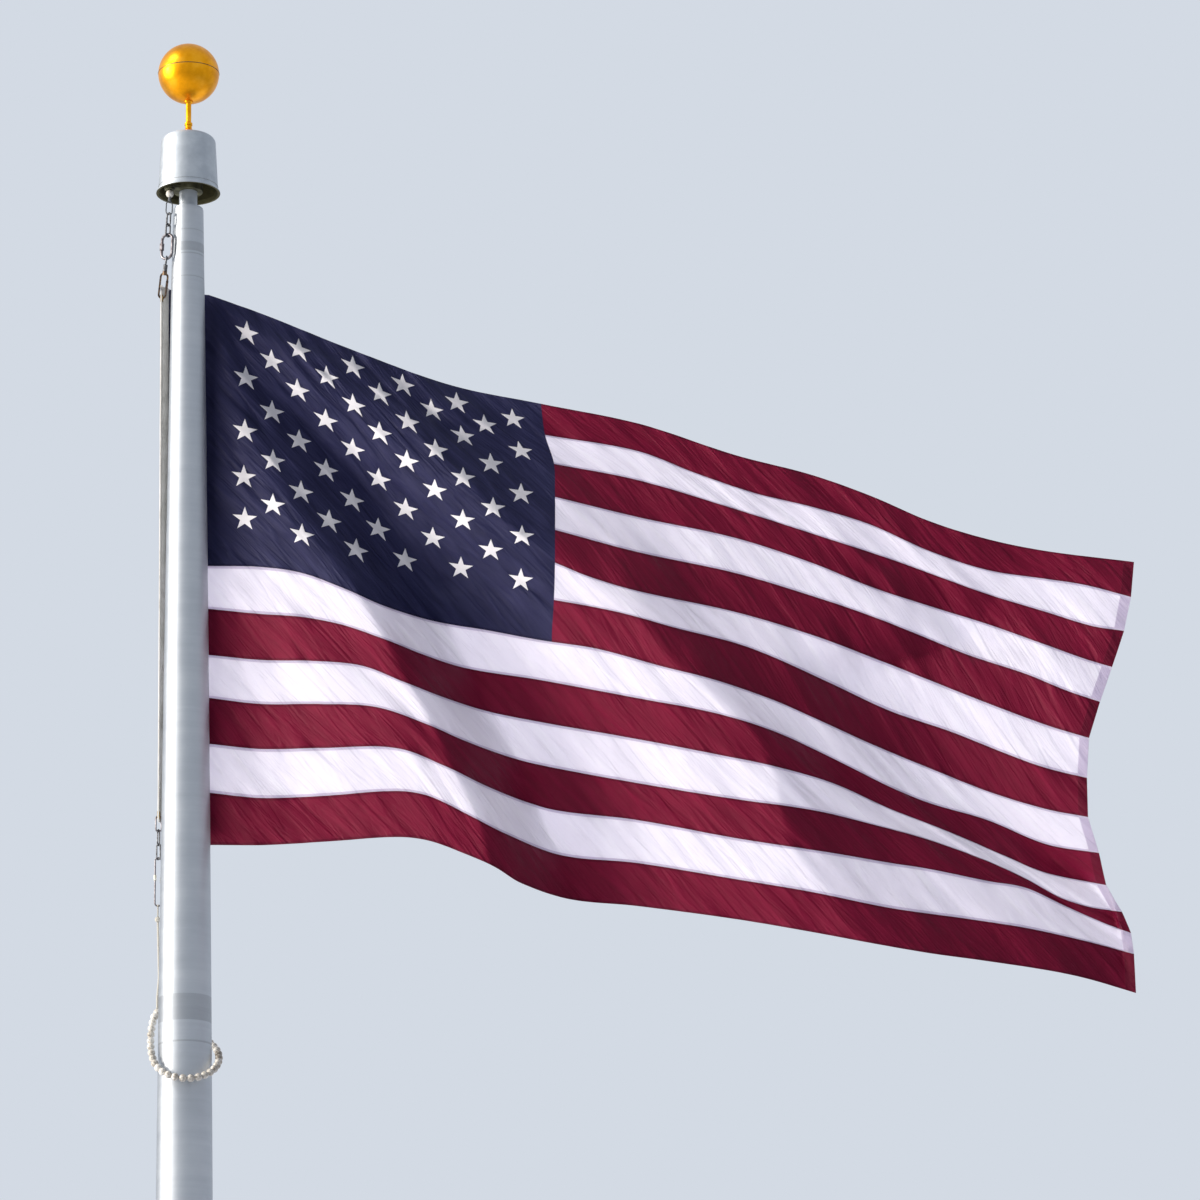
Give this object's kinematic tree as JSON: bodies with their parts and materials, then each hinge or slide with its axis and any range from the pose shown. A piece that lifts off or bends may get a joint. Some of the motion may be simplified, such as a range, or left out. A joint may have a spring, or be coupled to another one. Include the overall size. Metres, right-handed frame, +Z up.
{
  "type": "flagpole",
  "caption": "Tall aluminium flagpole with an internal halyard, a revolving truck, a gold ball and a large striped flag with a starred canton",
  "frame": {"origin": "middle of the base flange's underside, on the pole's axis", "axes": "+Z up along the pole, +X the way the flag streams, +Y away from the side that the access door faces"},
  "size_m": [3.2501, 0.356, 8.2146],
  "materials": {
    "satin_aluminium": "satin",
    "cast_aluminium": "matte",
    "steel": "satin",
    "bronze": "satin",
    "gilt": "gloss",
    "brass_eyelet": "satin",
    "white_plastic": "matte",
    "canvas": "matte",
    "navy_cloth": "satin",
    "red_cloth": "satin",
    "white_cloth": "satin"
  },
  "bodies": {
    "pole": {"base_flange": "cast_aluminium", "pole_shaft": "satin_aluminium", "door_frame": "satin_aluminium", "access_door": "satin_aluminium", "door_lock": "steel", "neck_plug": "cast_aluminium", "thrust_ring": "bronze"},
    "truck": {"truck_cap": "satin_aluminium", "truck_hub": "cast_aluminium", "outlet_bushing": "white_plastic", "sheave": "bronze", "sheave_pin": "steel", "halyard_wire": "steel", "finial_stem": "gilt", "ball_lower_half": "gilt", "ball_upper_half": "gilt", "stop_ball": "white_plastic", "wire_loop": "steel", "upper_link": "steel", "lower_link": "steel", "quick_link": "steel", "quick_link_nut": "steel", "snap_swivel": "steel", "snap_hook": "bronze", "header_strip": "canvas", "canton": "navy_cloth", "red_stripes": "red_cloth", "white_stripes": "white_cloth", "upper_grommet": "brass_eyelet", "lower_grommet": "brass_eyelet", "lower_snap": "steel", "lower_ring": "steel", "lower_shackle": "steel", "long_link": "steel", "long_link_collars": "steel", "retainer_cord": "white_plastic", "retainer_ring": "white_plastic"}
  },
  "joints": [
    {"name": "truck_spin", "type": "hinge", "parent": "pole", "child": "truck", "pos_m": [0, 0, 7.774], "axis": [0, 0, 1], "continuous": true}
  ]
}
